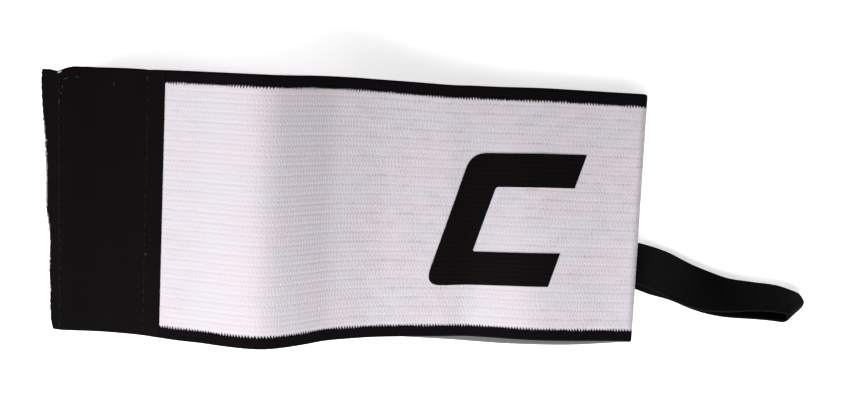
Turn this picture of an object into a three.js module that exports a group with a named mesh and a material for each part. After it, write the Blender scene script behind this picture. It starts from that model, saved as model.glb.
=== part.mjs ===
// A captain armband lying on a flat surface, printed face up.
//
// A wide elastic webbing is closed into a loop. X runs along the armband to the right, Y runs across
// the webbing to its upper edge, and Z points up. The loop's outer end lies on top at the left, under a
// black printed panel. From there the webbing runs right over a soft ridge, folds under at the right,
// runs back along the ground, folds up at the left and ends under the outer end, where a hook tape and a
// loop tape hold the two ends together. A doubled strap is sewn under the right-hand fold.

import * as THREE from "three";

// Webbing
const bandWidth = 75;
const borderWidth = 3.6;
const webbingThickness = 1.3;
const clearance = 0.3;

// The loop as it lies: how far the front reaches, how high its middle layer is at the ridge,
// and where the layers run
const frontSpan = 171.5;
const ridgeHeight = 41.2;
const endSkew = 2;
const endTaper = 1.1;
const edgeBow = 0.6;
const backDrift = 3.2;
const leftFoldReach = 11.5;
const leftFoldInset = 11;

// The fastening
const freeEnd = 3.5;
const underEndInset = 2.5;
const hookTapeLength = 27;
const hookTapeOverhang = 0.3;
const hookTapeThickness = 1.2;
const loopTapeLength = 50;
const loopTapeThickness = 1.2;
const loopTapeInset = 0.6;
const underEndLength = 35.5;

// Prints
const printThickness = 0.3;
const panelLength = 35;
const letterHeight = 39.5;
const letterBar = 10;
const letterStem = 11.2;
const letterTopReach = 34.5;
const letterBottomReach = 37.3;
const letterOuterRadius = 5;
const letterInnerRadius = 0.8;
const letterSlant = THREE.MathUtils.degToRad(18.5);
const letterTurn = THREE.MathUtils.degToRad(1.2);
const letterFromFold = 55.8;
const letterDrop = 2.15;

// Strap
const strapWidth = 12.5;
const strapThickness = 1;
const strapFreeLength = 50.5;
const strapDrift = 14;
const strapTilt = THREE.MathUtils.degToRad(58);
const strapTipSlant = 5;
const strapLoopGap = 2.2;
const strapRootY = -11.5;
const strapRamp = 22;

// The front from the cut end to the right-hand fold. along is a share of its run, the two rises are
// shares of ridgeHeight at the webbing's upper and lower edge, and bow is a share of edgeBow by which
// the upper edge stands out.
const frontRows = [
  { along: 0.0, riseUpper: 0.64, riseLower: 0.655, bow: 0 },
  { along: 0.027, riseUpper: 0.675, riseLower: 0.68, bow: 0 },
  { along: 0.085, riseUpper: 0.67, riseLower: 0.67, bow: 0.1 },
  { along: 0.13, riseUpper: 0.69, riseLower: 0.69, bow: 0.3 },
  { along: 0.17, riseUpper: 0.73, riseLower: 0.73, bow: 0.2 },
  { along: 0.225, riseUpper: 0.825, riseLower: 0.83, bow: 0.4 },
  { along: 0.275, riseUpper: 0.89, riseLower: 0.89, bow: 0.45 },
  { along: 0.32, riseUpper: 0.965, riseLower: 0.963, bow: 0.5 },
  { along: 0.356, riseUpper: 1.0, riseLower: 0.998, bow: 0.5 },
  { along: 0.383, riseUpper: 0.985, riseLower: 0.995, bow: 0.5 },
  { along: 0.41, riseUpper: 0.9, riseLower: 0.935, bow: 0.65 },
  { along: 0.44, riseUpper: 0.77, riseLower: 0.81, bow: 0.95 },
  { along: 0.47, riseUpper: 0.64, riseLower: 0.66, bow: 1.0 },
  { along: 0.505, riseUpper: 0.545, riseLower: 0.55, bow: 0.9 },
  { along: 0.55, riseUpper: 0.45, riseLower: 0.443, bow: 0.5 },
  { along: 0.61, riseUpper: 0.375, riseLower: 0.363, bow: 0 },
  { along: 0.67, riseUpper: 0.325, riseLower: 0.3, bow: -0.55 },
  { along: 0.71, riseUpper: 0.28, riseLower: 0.252, bow: -0.4 },
  { along: 0.75, riseUpper: 0.245, riseLower: 0.257, bow: -0.4 },
  { along: 0.83, riseUpper: 0.215, riseLower: 0.289, bow: -0.05 },
  { along: 0.89, riseUpper: 0.2, riseLower: 0.262, bow: -0.25 },
  { along: 0.95, riseUpper: 0.185, riseLower: 0.206, bow: -0.5 },
  { along: 1.0, riseUpper: 0.172, riseLower: 0.172, bow: -0.65 },
];

// The back layer from the right-hand fold to the left-hand one. along is a share of its run, and aside
// is a share of backDrift towards the lower edge.
const backRows = [
  { along: 0.0, aside: 0.35 },
  { along: 0.1, aside: 0.85 },
  { along: 0.2, aside: 1.0 },
  { along: 0.4, aside: 1.0 },
  { along: 0.6, aside: 0.75 },
  { along: 0.8, aside: 0.4 },
  { along: 1.0, aside: 0.25 },
];

// The strap from its sewn root to its tip. out is a share of strapFreeLength from the fold, drift a share
// of strapDrift towards the lower edge, tilt a share of strapTilt, and spread a share of strapLoopGap.
const strapRows = [
  { out: -0.71, drift: 0.0, tilt: 0.0, spread: 0.0 },
  { out: -0.46, drift: 0.0, tilt: 0.0, spread: 0.0 },
  { out: -0.25, drift: 0.03, tilt: 0.0, spread: 0.0 },
  { out: -0.1, drift: 0.14, tilt: 0.0, spread: 0.0 },
  { out: 0.03, drift: 0.27, tilt: 0.0, spread: 0.0 },
  { out: 0.23, drift: 0.5, tilt: 0.03, spread: 0.05 },
  { out: 0.4, drift: 0.7, tilt: 0.35, spread: 0.3 },
  { out: 0.54, drift: 0.79, tilt: 0.75, spread: 0.65 },
  { out: 0.7, drift: 0.81, tilt: 0.95, spread: 0.95 },
  { out: 0.85, drift: 0.85, tilt: 1.0, spread: 1.0 },
  { out: 0.97, drift: 0.95, tilt: 1.1, spread: 1.0 },
];

const halfWidth = bandWidth / 2;
const halfWebbing = webbingThickness / 2;
const strapStack = 2 * strapThickness + clearance;
const groundLayer = halfWebbing;
const strapLift = strapStack + clearance;
const strapRoot = frontSpan + strapRows[0].out * strapFreeLength;
const stackDepth = webbingThickness + hookTapeThickness + loopTapeThickness + 3 * clearance;

// A smooth curve through the rows' values of one column, read at a place between the rows.
function readColumn(rows, placeColumn, column, place) {
  const last = rows.length - 1;
  let row = 0;
  while (row < last - 1 && place > rows[row + 1][placeColumn]) {
    row += 1;
  }
  const slopeAt = (index) => {
    const before = rows[Math.max(index - 1, 0)];
    const after = rows[Math.min(index + 1, last)];
    return (after[column] - before[column]) / (after[placeColumn] - before[placeColumn]);
  };
  const from = rows[row];
  const to = rows[row + 1];
  const step = to[placeColumn] - from[placeColumn];
  const t = THREE.MathUtils.clamp((place - from[placeColumn]) / step, 0, 1);
  const rise = t * t * (3 - 2 * t);
  const bendStart = t * (1 - t) * (1 - t) * step * slopeAt(row);
  const bendEnd = t * t * (1 - t) * step * slopeAt(row + 1);
  return from[column] * (1 - rise) + to[column] * rise + bendStart - bendEnd;
}

// The middle of the webbing on the front. across is -1 at the lower edge and 1 at the upper one.
// The cut end is a little longer at the upper edge, and there its free stretch draws in.
function frontPoint(along, across) {
  const upper = readColumn(frontRows, "along", "riseUpper", along);
  const lower = readColumn(frontRows, "along", "riseLower", along);
  const share = (across + 1) / 2;
  const x = along * foldCentre;
  const skew = endSkew * across * (1 - THREE.MathUtils.smoothstep(x, 0, 2 * freeEnd));
  const taper = endTaper * (1 - THREE.MathUtils.smoothstep(x, freeEnd, 2 * freeEnd));
  const bow = edgeBow * readColumn(frontRows, "along", "bow", along) - taper;
  const rise = upper * share + lower * (1 - share);
  return new THREE.Vector3(x - skew, share * bow, ridgeHeight * rise);
}

// The right-hand fold is half a circle between the front's last row and the lifted back layer.
const foldTop = ridgeHeight * frontRows.at(-1).riseLower;
const foldBottom = groundLayer + strapLift;
const foldRadius = (foldTop - foldBottom) / 2;
const foldCentre = frontSpan - foldRadius - halfWebbing;

// The back layer lies on the ground and climbs over the sewn end of the strap.
function backPoint(along) {
  const x = foldCentre + (leftFoldInset - foldCentre) * along;
  const aside = readColumn(backRows, "along", "aside", along);
  const lift = THREE.MathUtils.smoothstep(x, strapRoot - strapRamp, strapRoot - clearance);
  return new THREE.Vector3(x, -backDrift * aside, groundLayer + strapLift * lift);
}

// A fold that leaves one point in one direction and arrives at another in a second direction.
function foldBetween(start, startWay, end, endWay, reach) {
  const startHandle = start.clone().addScaledVector(startWay, reach);
  const endHandle = end.clone().addScaledVector(endWay, -reach);
  return new THREE.CubicBezierCurve3(start, startHandle, endHandle, end);
}

const alongX = new THREE.Vector3(1, 0, 0);
const alongY = new THREE.Vector3(0, 1, 0);
const smallStep = 0.0005;

function wayOf(pointAt, place, across) {
  const before = pointAt(Math.max(place - smallStep, 0), across);
  const after = pointAt(Math.min(place + smallStep, 1), across);
  const way = after.sub(before);
  way.y = 0;
  return way.normalize();
}

// The under end keeps one distance below the front and starts a little after the hook tape.
const underStart = freeEnd + underEndInset;
const underFrom = underStart / foldCentre;
const underTo = (underStart + underEndLength) / foldCentre;

function underPoint(along, across) {
  const place = underFrom + (underTo - underFrom) * along;
  const outward = wayOf(frontPoint, place, across).cross(alongY);
  const point = frontPoint(place, across).addScaledVector(outward, -stackDepth);
  point.y = -backDrift * backRows.at(-1).aside;
  return point;
}

const backwards = alongX.clone().negate();

function rightFoldPoint(along, across) {
  const start = frontPoint(1, across);
  const end = backPoint(0);
  const reach = (foldRadius * 4) / 3;
  return foldBetween(start, alongX, end, backwards, reach).getPoint(along);
}

function leftFoldPoint(along, across) {
  const start = backPoint(1);
  const end = underPoint(0, across);
  const arrival = wayOf(underPoint, 0, across);
  const reach = leftFoldReach + endSkew * across;
  return foldBetween(start, backwards, end, arrival, reach).getPoint(along);
}

// The whole loop in five runs. A place of 2.5 is half-way through the third run.
const runs = [frontPoint, rightFoldPoint, backPoint, leftFoldPoint, underPoint];
const runSteps = [84, 10, 20, 14, 16];

function loopPoint(place, across) {
  const run = Math.min(Math.floor(place), runs.length - 1);
  const point = runs[run](place - run, across);
  point.y += halfWidth * across;
  return point;
}

function loopNormal(place, across) {
  const before = loopPoint(Math.max(place - smallStep, 0), across);
  const after = loopPoint(Math.min(place + smallStep, runs.length), across);
  const way = after.sub(before);
  way.y = 0;
  return way.normalize().cross(alongY);
}

// Lengths along the middle of the webbing, so that tapes and prints are placed in real millimetres.
const samplesPerRun = 200;
const places = [];
const lengths = [];
for (let sample = 0; sample <= runs.length * samplesPerRun; sample += 1) {
  const place = sample / samplesPerRun;
  const before = places.length > 0 ? loopPoint(places.at(-1), 0) : loopPoint(0, 0);
  const step = loopPoint(place, 0).distanceTo(before);
  lengths.push((lengths.at(-1) ?? 0) + step);
  places.push(place);
}
const frontLength = lengths[samplesPerRun];
const wholeLength = lengths.at(-1);

function placeAtLength(length) {
  let sample = 1;
  while (sample < lengths.length - 1 && lengths[sample] < length) {
    sample += 1;
  }
  const share = (length - lengths[sample - 1]) / (lengths[sample] - lengths[sample - 1]);
  return places[sample - 1] + share * (places[sample] - places[sample - 1]);
}

// A closed solid over a grid. pointAt gives the position for a column, a row and a side, 0 or 1.
function gridSolid(columns, rows, pointAt) {
  const positions = [];
  for (let side = 0; side < 2; side += 1) {
    for (let column = 0; column <= columns; column += 1) {
      for (let row = 0; row <= rows; row += 1) {
        positions.push(...pointAt(column / columns, row / rows, side).toArray());
      }
    }
  }
  const corner = (column, row, side) => side * (columns + 1) * (rows + 1) + column * (rows + 1) + row;
  const faces = [];
  const addQuad = (a, b, c, d) => faces.push(a, b, c, a, c, d);
  for (let column = 0; column < columns; column += 1) {
    for (let row = 0; row < rows; row += 1) {
      const next = column + 1;
      const above = row + 1;
      addQuad(corner(column, row, 1), corner(next, row, 1), corner(next, above, 1), corner(column, above, 1));
      addQuad(corner(column, row, 0), corner(column, above, 0), corner(next, above, 0), corner(next, row, 0));
    }
    const next = column + 1;
    addQuad(corner(column, 0, 0), corner(next, 0, 0), corner(next, 0, 1), corner(column, 0, 1));
    addQuad(corner(column, rows, 1), corner(next, rows, 1), corner(next, rows, 0), corner(column, rows, 0));
  }
  for (let row = 0; row < rows; row += 1) {
    const above = row + 1;
    addQuad(corner(0, row, 0), corner(0, row, 1), corner(0, above, 1), corner(0, above, 0));
    addQuad(corner(columns, row, 1), corner(columns, row, 0), corner(columns, above, 0), corner(columns, above, 1));
  }
  const geometry = new THREE.BufferGeometry();
  geometry.setAttribute("position", new THREE.Float32BufferAttribute(positions, 3));
  geometry.setIndex(faces);
  geometry.computeVertexNormals();
  return geometry;
}

// A strip of cloth that follows the loop: stations along it, an across range in millimetres from the
// middle, and two offsets from the webbing's middle, outwards positive.
function stripSolid(stations, acrossFrom, acrossTo, rows, innerOffset, outerOffset) {
  return gridSolid(stations.length - 1, rows, (u, v, side) => {
    const place = stations[Math.round(u * (stations.length - 1))];
    const across = THREE.MathUtils.lerp(acrossFrom, acrossTo, v) / halfWidth;
    const offset = side === 1 ? outerOffset : innerOffset;
    return loopPoint(place, across).addScaledVector(loopNormal(place, across), offset);
  });
}

function stationsOfLoop() {
  const stations = [0];
  runSteps.forEach((steps, run) => {
    for (let step = 1; step <= steps; step += 1) {
      stations.push(run + step / steps);
    }
  });
  return stations;
}

// The loop's own stations between two lengths, so that a tape bends at the same places as the webbing.
function stationsBetween(lengthFrom, lengthTo) {
  const from = placeAtLength(lengthFrom);
  const to = placeAtLength(lengthTo);
  const margin = 0.002;
  const inside = stationsOfLoop().filter((place) => place > from + margin && place < to - margin);
  return [from, ...inside, to];
}

// The outline of a polygon whose corners are rounded, as one list of points. Each side and each corner
// has a fixed number of points, so that two outlines with as many corners can be joined side by side.
function roundedOutline(corners, radii, sidePoints, cornerPoints) {
  const outline = [];
  const cuts = corners.map((corner, index) => {
    const radius = radii[index];
    if (radius === 0) {
      return [corner, corner];
    }
    const toBefore = corners[index - 1].clone().sub(corner).normalize();
    const toAfter = corners[index + 1].clone().sub(corner).normalize();
    return [corner.clone().addScaledVector(toBefore, radius), corner.clone().addScaledVector(toAfter, radius)];
  });
  for (let index = 0; index < corners.length - 1; index += 1) {
    const start = cuts[index][1];
    const end = cuts[index + 1][0];
    for (let point = 0; point <= sidePoints; point += 1) {
      outline.push(start.clone().lerp(end, point / sidePoints));
    }
    if (radii[index + 1] > 0) {
      const turn = new THREE.QuadraticBezierCurve(end, corners[index + 1], cuts[index + 1][1]);
      outline.push(...turn.getPoints(cornerPoints).slice(1, -1));
    }
  }
  return outline;
}

// The letter is the area between an outer and an inner outline, both from the upper bar's end to the
// lower bar's end, drawn upright and then slanted and turned. p runs along the armband, q across it.
const letterTop = letterHeight / 2;
const letterPart = (p, q) => new THREE.Vector2(p, q);
const outerCorners = [
  letterPart(letterTopReach, letterTop),
  letterPart(0, letterTop),
  letterPart(0, -letterTop),
  letterPart(letterBottomReach, -letterTop),
];
const innerCorners = [
  letterPart(letterTopReach, letterTop - letterBar),
  letterPart(letterStem, letterTop - letterBar),
  letterPart(letterStem, letterBar - letterTop),
  letterPart(letterBottomReach, letterBar - letterTop),
];
const letterSidePoints = 12;
const letterCornerPoints = 7;
const letterRows = 4;
const outerRadii = [0, letterOuterRadius, letterOuterRadius, 0];
const innerRadii = [0, letterInnerRadius, letterInnerRadius, 0];
const outerOutline = roundedOutline(outerCorners, outerRadii, letterSidePoints, letterCornerPoints);
const innerOutline = roundedOutline(innerCorners, innerRadii, letterSidePoints, letterCornerPoints);

function letterSolid() {
  const innerOffset = halfWebbing + clearance;
  const start = frontLength - letterFromFold;
  return gridSolid(outerOutline.length - 1, letterRows, (u, v, side) => {
    const index = Math.round(u * (outerOutline.length - 1));
    const drawn = outerOutline[index].clone().lerp(innerOutline[index], v);
    drawn.x += drawn.y * Math.tan(letterSlant);
    drawn.rotateAround(new THREE.Vector2(0, 0), letterTurn);
    const place = placeAtLength(start + drawn.x);
    const across = (drawn.y - letterDrop) / halfWidth;
    const offset = innerOffset + side * printThickness;
    return loopPoint(place, across).addScaledVector(loopNormal(place, across), offset);
  });
}

// The strap: a doubled ribbon that lies on the ground under the fold, then turns on its edge. Its middle
// line is halfway between the two layers, and its lowest corner always touches the ground.
const strapMiddle = new THREE.CatmullRomCurve3(
  strapRows.map(
    (row) => new THREE.Vector3(frontSpan + row.out * strapFreeLength, strapRootY - row.drift * strapDrift, 0),
  ),
);
const strapSteps = 44;
const strapFoldSteps = 8;
const strapRowsAcross = 2;

function strapFrame(share) {
  const middle = strapMiddle.getPointAt(share);
  const way = strapMiddle.getTangentAt(share);
  const out = (middle.x - frontSpan) / strapFreeLength;
  const tilt = strapTilt * readColumn(strapRows, "out", "tilt", out);
  const spread = strapLoopGap * readColumn(strapRows, "out", "spread", out);
  const sideways = way.clone().cross(new THREE.Vector3(0, 0, 1));
  const widthWay = sideways.clone().multiplyScalar(Math.cos(tilt));
  widthWay.z += Math.sin(tilt);
  const normal = widthWay.clone().cross(way);
  const layerApart = (strapThickness + clearance + spread) / 2;
  const halfStack = layerApart + strapThickness / 2;
  middle.z = (strapWidth / 2) * Math.abs(Math.sin(tilt)) + halfStack * Math.cos(tilt);
  return { middle, way, widthWay, normal, layerApart };
}

// The ribbon's middle goes out on the upper layer, round the tip and back on the lower layer.
function strapSolid() {
  const columns = 2 * strapSteps + strapFoldSteps;
  return gridSolid(columns, strapRowsAcross, (u, v, side) => {
    const step = Math.round(u * columns);
    const outShare = Math.min(step, columns - step, strapSteps) / strapSteps;
    const share = outShare * (1 - ((1 - v) * strapTipSlant) / strapMiddle.getLength());
    const turn = THREE.MathUtils.clamp((step - strapSteps) / strapFoldSteps, 0, 1);
    const { middle, way, widthWay, normal, layerApart } = strapFrame(share);
    const outward = normal.clone().multiplyScalar(Math.cos(turn * Math.PI));
    outward.addScaledVector(way, Math.sin(turn * Math.PI));
    const reach = layerApart + (side - 0.5) * strapThickness;
    return middle.clone().addScaledVector(outward, reach).addScaledVector(widthWay, (0.5 - v) * strapWidth);
  });
}

const whiteElastic = { color: 0xe9e4ea, roughness: 0.85, metalness: 0 };
const blackElastic = { color: 0x17141a, roughness: 0.8, metalness: 0 };
const blackPrint = { color: 0x131013, roughness: 0.7, metalness: 0 };
const blackTape = { color: 0x101011, roughness: 0.95, metalness: 0 };

function namedMesh(name, geometry, finish) {
  const mesh = new THREE.Mesh(geometry, new THREE.MeshStandardMaterial(finish));
  mesh.name = name;
  return mesh;
}

const borderInner = halfWidth - borderWidth;
const fieldEdge = borderInner - clearance;
const webbingFaces = [-halfWebbing, halfWebbing];
const hookOuter = -halfWebbing - clearance;
const printInner = halfWebbing + clearance;
const wholeLoop = stationsOfLoop();

const armband = new THREE.Group();
armband.add(
  namedMesh("elastic_field", stripSolid(wholeLoop, -fieldEdge, fieldEdge, 3, ...webbingFaces), whiteElastic),
  namedMesh("top_border", stripSolid(wholeLoop, borderInner, halfWidth, 1, ...webbingFaces), blackElastic),
  namedMesh("bottom_border", stripSolid(wholeLoop, -halfWidth, -borderInner, 1, ...webbingFaces), blackElastic),
  namedMesh(
    "end_panel",
    stripSolid(stationsBetween(0, panelLength), -halfWidth, halfWidth, 4, printInner, printInner + printThickness),
    blackPrint,
  ),
  namedMesh("captain_letter", letterSolid(), blackPrint),
  namedMesh(
    "hook_tape",
    stripSolid(
      stationsBetween(freeEnd, freeEnd + hookTapeLength),
      -halfWidth + hookTapeOverhang,
      halfWidth + hookTapeOverhang,
      3,
      hookOuter - hookTapeThickness,
      hookOuter,
    ),
    blackTape,
  ),
  namedMesh(
    "loop_tape",
    stripSolid(
      stationsBetween(wholeLength - loopTapeLength, wholeLength),
      -halfWidth + loopTapeInset,
      halfWidth - loopTapeInset,
      3,
      printInner,
      printInner + loopTapeThickness,
    ),
    blackTape,
  ),
  namedMesh("strap", strapSolid(), blackElastic),
);

// The origin is below the middle of the whole armband, on the ground.
const box = new THREE.Box3().setFromObject(armband);
armband.position.set(-(box.min.x + box.max.x) / 2, -(box.min.y + box.max.y) / 2, -box.min.z);

export default armband;
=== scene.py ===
"""A captain armband that lies on a pale surface with its printed face up.

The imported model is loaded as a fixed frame, and each piece here dresses or replaces a part of it. Most
pieces are surfaces over two parameters: the length along the cloth and the distance across it. Sizes are
in millimetres until the last step, which turns points into metres.
"""

import math

import bpy
import numpy as np
from mathutils import Matrix, Vector


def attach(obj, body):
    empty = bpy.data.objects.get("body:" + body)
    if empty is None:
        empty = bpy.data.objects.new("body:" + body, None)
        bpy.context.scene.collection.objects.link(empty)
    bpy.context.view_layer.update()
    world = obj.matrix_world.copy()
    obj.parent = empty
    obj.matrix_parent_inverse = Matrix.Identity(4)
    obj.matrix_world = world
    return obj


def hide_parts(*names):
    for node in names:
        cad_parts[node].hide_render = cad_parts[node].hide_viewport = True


bl_info = {
    "name": "Captain armband",
    "version": (1, 0, 0),
    "blender": (4, 5, 0),
    "location": "3D View > Sidebar > Armband",
    "description": "Dresses the packed model of a captain armband and sets its stage",
    "category": "Object",
}

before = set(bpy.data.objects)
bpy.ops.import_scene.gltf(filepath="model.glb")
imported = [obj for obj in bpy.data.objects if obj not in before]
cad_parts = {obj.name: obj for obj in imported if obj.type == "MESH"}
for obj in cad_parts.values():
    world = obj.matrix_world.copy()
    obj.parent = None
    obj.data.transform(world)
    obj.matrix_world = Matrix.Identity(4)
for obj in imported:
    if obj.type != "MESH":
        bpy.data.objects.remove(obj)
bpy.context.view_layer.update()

MM = 0.001

# Webbing
BAND_WIDTH = 75.0
HALF_WIDTH = BAND_WIDTH / 2
WEBBING_THICKNESS = 1.3
HALF_WEBBING = WEBBING_THICKNESS / 2
CLEARANCE = 0.3

# The loop as it lies
FRONT_SPAN = 171.5
RIDGE_HEIGHT = 41.2
END_SKEW = 2.0
END_TAPER = 1.1
EDGE_BOW = 0.6
BACK_DRIFT = 3.2
LEFT_FOLD_REACH = 11.5
LEFT_FOLD_INSET = 11.0
LEFT_FOLD_TUCK = 0.85

# The fastening
FREE_END = 3.5
UNDER_END_INSET = 2.5
HOOK_TAPE_LENGTH = 27.0
HOOK_TAPE_OVERHANG = 0.3
HOOK_TAPE_THICKNESS = 1.2
LOOP_TAPE_LENGTH = 50.0
LOOP_TAPE_THICKNESS = 1.2
LOOP_TAPE_INSET = 0.6
UNDER_END_LENGTH = 35.5

# Prints
PANEL_LENGTH = 35.0
LETTER_HEIGHT = 39.5
LETTER_BAR = 10.0
LETTER_STEM = 11.2
LETTER_TOP_REACH = 34.5
LETTER_BOTTOM_REACH = 37.3
LETTER_OUTER_RADIUS = 5.0
LETTER_INNER_RADIUS = 0.8
LETTER_SLANT = math.radians(18.5)
LETTER_TURN = math.radians(1.2)
LETTER_FROM_FOLD = 55.8
LETTER_DROP = 2.15

# Strap
STRAP_WIDTH = 12.5
STRAP_THICKNESS = 1.0
STRAP_FREE_LENGTH = 50.5
STRAP_DRIFT = 14.0
STRAP_TILT = math.radians(60)
STRAP_TIP_SLANT = 6.0
STRAP_TIP_CORNER = 1.0
STRAP_ASKEW = 0.9
STRAP_LOOP_GAP = 2.2
STRAP_ROOT_DROP = 11.5
STRAP_RAMP = 22.0

# Where the part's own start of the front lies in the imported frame
FRAME_SHIFT = np.array([-109.593, 1.344, 0.0])

# How finely the cloth is woven
RIB_COUNT = 49
FIELD_HALF = 33.6
RIB_PITCH = 2 * FIELD_HALF / RIB_COUNT
CORE_HALF = 0.6
EDGE_ROUND = 0.6
NEAR_OPEN_WEAVE = (38.0, 50.0)
# Beyond this span along the front, cloth that leans to the right gets a more open weave and painted shade.
FAR_WEAVE_AND_SHADE = (82.0, 104.0)

# Prints on the weave, and the threads in them
PRINT_GAP = 0.035
PRINT_RISE = 0.1
PANEL_SEAMS = (4.1, 29.4)
PANEL_STITCH = 2.7
PANEL_THREAD = 0.13
FRAYED_YARN = 0.1
TANGLED_YARN = 0.06
TANGLE_LENGTH = 4.15
TANGLE_INSET = 0.75
LINT_FIBRE = 0.07

# The strap's ribs, its edge and the sewn box at its root
STRAP_RIB_PITCH = 1.25
STRAP_EDGE_ROUND = 0.42
STRAP_STITCH = 2.2
STRAP_THREAD = 0.15
STRAP_BOX_REACH = (2, 11.5)
STRAP_BOX_HALF = 4.6

# The camera, turned as the photograph's is, and the floor
CAMERA_EYE = (-3.593, 40.949, 374.216)
CAMERA_PITCH = math.radians(6.1)
CAMERA_ROLL = math.radians(2.7)
FLOOR_HALF = 8.0
FLOOR_DROP = 0.0002


def table(columns, *rows):
    """A short table with named columns, as one array for each column."""
    return {name: np.array(values, float) for name, values in zip(columns.split(), zip(*rows))}


# The front from the cut end to the right-hand fold. along is a share of its run, the two rises are
# shares of RIDGE_HEIGHT at the webbing's upper and lower edge, and bow is a share of EDGE_BOW by which
# the upper edge stands out.
FRONT_ROWS = table(
    "along rise_upper rise_lower bow",
    (0.0, 0.64, 0.655, 0.0),
    (0.027, 0.675, 0.68, 0.0),
    (0.085, 0.67, 0.67, 0.1),
    (0.13, 0.69, 0.69, 0.3),
    (0.17, 0.73, 0.73, 0.2),
    (0.225, 0.825, 0.83, 0.4),
    (0.275, 0.89, 0.89, 0.45),
    (0.32, 0.965, 0.963, 0.5),
    (0.356, 1.0, 0.998, 0.5),
    (0.383, 0.972, 0.99, 0.5),
    (0.41, 0.872, 0.915, 0.65),
    (0.44, 0.742, 0.79, 0.95),
    (0.47, 0.622, 0.645, 1.0),
    (0.505, 0.54, 0.545, 0.9),
    (0.55, 0.45, 0.443, 0.5),
    (0.61, 0.375, 0.363, 0.0),
    (0.67, 0.325, 0.3, -0.55),
    (0.71, 0.28, 0.252, -0.4),
    (0.75, 0.245, 0.257, -0.4),
    (0.83, 0.215, 0.289, -0.05),
    (0.89, 0.2, 0.262, -0.25),
    (0.95, 0.185, 0.206, -0.5),
    (1.0, 0.172, 0.172, -0.65),
)

# The back layer from the right-hand fold to the left-hand one. along is a share of its run, and aside
# is a share of BACK_DRIFT towards the lower edge.
BACK_ROWS = table(
    "along aside",
    (0.0, 0.35),
    (0.1, 0.85),
    (0.2, 1.0),
    (0.4, 1.0),
    (0.6, 0.75),
    (0.8, 0.4),
    (1.0, 0.25),
)

# The strap from its sewn root to its tip. out is a share of STRAP_FREE_LENGTH from the fold, drift a
# share of STRAP_DRIFT, tilt a share of STRAP_TILT, and spread a share of STRAP_LOOP_GAP.
STRAP_ROWS = table(
    "out drift tilt spread",
    (-0.71, 0.0, 0.0, 0.0),
    (-0.46, 0.0, 0.0, 0.0),
    (-0.25, 0.03, 0.0, 0.0),
    (-0.1, 0.14, 0.0, 0.0),
    (0.03, 0.27, 0.0, 0.0),
    (0.23, 0.5, 0.03, 0.05),
    (0.4, 0.71, 0.35, 0.3),
    (0.54, 0.81, 0.74, 0.65),
    (0.7, 0.84, 0.95, 0.95),
    (0.85, 0.88, 1.0, 1.0),
    (0.98, 0.99, 1.1, 1.0),
)

# The uneven cut at the left end. across is a share of half the width, and inset a share of CUT_WAVE
# by which the cloth is cut short there.
CUT_WAVE = 0.7
CUT_ROWS = table(
    "across inset",
    (-1.0, 0.65),
    (-0.95, 0.0),
    (-0.86, -0.3),
    (-0.68, -0.05),
    (-0.5, 0.0),
    (-0.31, 0.95),
    (-0.22, 0.5),
    (-0.13, 0.1),
    (-0.04, -0.35),
    (0.14, 0.1),
    (0.32, 0.25),
    (0.5, 0.15),
    (0.69, -0.35),
    (0.87, -0.5),
    (1.0, 0.0),
)

# Where white yarn ends have frayed out of the cut: the middle and the reach of each patch as shares of
# half the width, and its number of ends.
FRAY_ROWS = table(
    "across reach ends",
    (0.53, 0.09, 18),
    (0.34, 0.12, 24),
    (0.14, 0.14, 28),
    (0.02, 0.06, 12),
    (-0.16, 0.08, 12),
    (-0.47, 0.06, 9),
    (-0.75, 0.1, 6),
)

# Lint on the panel: the place of each fibre, its length in millimetres and its turn in degrees.
LINT_ROWS = table(
    "length across reach turn",
    (5.6, 34.4, 0.9, 5),
    (8.4, 34.5, 1.0, -10),
    (4.9, 32.3, 0.8, 70),
    (4.6, 30.6, 0.6, 40),
    (4.2, 28.2, 0.9, 80),
    (19.0, 32.9, 0.9, 80),
    (29.1, 35.2, 0.9, 75),
    (30.0, -14.2, 0.8, 60),
)

# The notches in the upper edge, where the two seams of the hook tape end: depth, place and reach.
NOTCHES = ((0.6, 4.0, 0.55), (0.4, 29.8, 0.5))


def smoothstep(value, low, high):
    """0 below low and 1 above high, with an even start and stop between them."""
    t = np.clip((value - low) / (high - low), 0, 1)
    return t * t * (3 - 2 * t)


def unit(vectors):
    """The vectors with a length of one."""
    return vectors / np.linalg.norm(vectors, axis=-1, keepdims=True)


def read_column(rows, place_column, column, place):
    """A smooth curve through one column: cubics whose slope at a row is that between its neighbours."""
    places, values = rows[place_column], rows[column]
    last = len(places) - 1
    index = np.arange(last + 1)
    before, after = np.maximum(index - 1, 0), np.minimum(index + 1, last)
    slopes = (values[after] - values[before]) / (places[after] - places[before])
    row = np.clip(np.searchsorted(places[1:], place), 0, last - 1)
    step = places[row + 1] - places[row]
    t = np.clip((place - places[row]) / step, 0, 1)
    rise = t * t * (3 - 2 * t)
    bend = t * (1 - t) * step * ((1 - t) * slopes[row] - t * slopes[row + 1])
    return values[row] * (1 - rise) + values[row + 1] * rise + bend


GROUND_LAYER = HALF_WEBBING
STRAP_LIFT = 2 * STRAP_THICKNESS + 2 * CLEARANCE
STRAP_ROOT = FRONT_SPAN + STRAP_ROWS["out"][0] * STRAP_FREE_LENGTH
STACK_DEPTH = WEBBING_THICKNESS + HOOK_TAPE_THICKNESS + LOOP_TAPE_THICKNESS + 3 * CLEARANCE
FOLD_TOP = RIDGE_HEIGHT * FRONT_ROWS["rise_lower"][-1]
FOLD_RADIUS = (FOLD_TOP - GROUND_LAYER - STRAP_LIFT) / 2
FOLD_CENTRE = FRONT_SPAN - FOLD_RADIUS - HALF_WEBBING
UNDER_START = FREE_END + UNDER_END_INSET
SMALL_STEP = 0.0005


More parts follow.
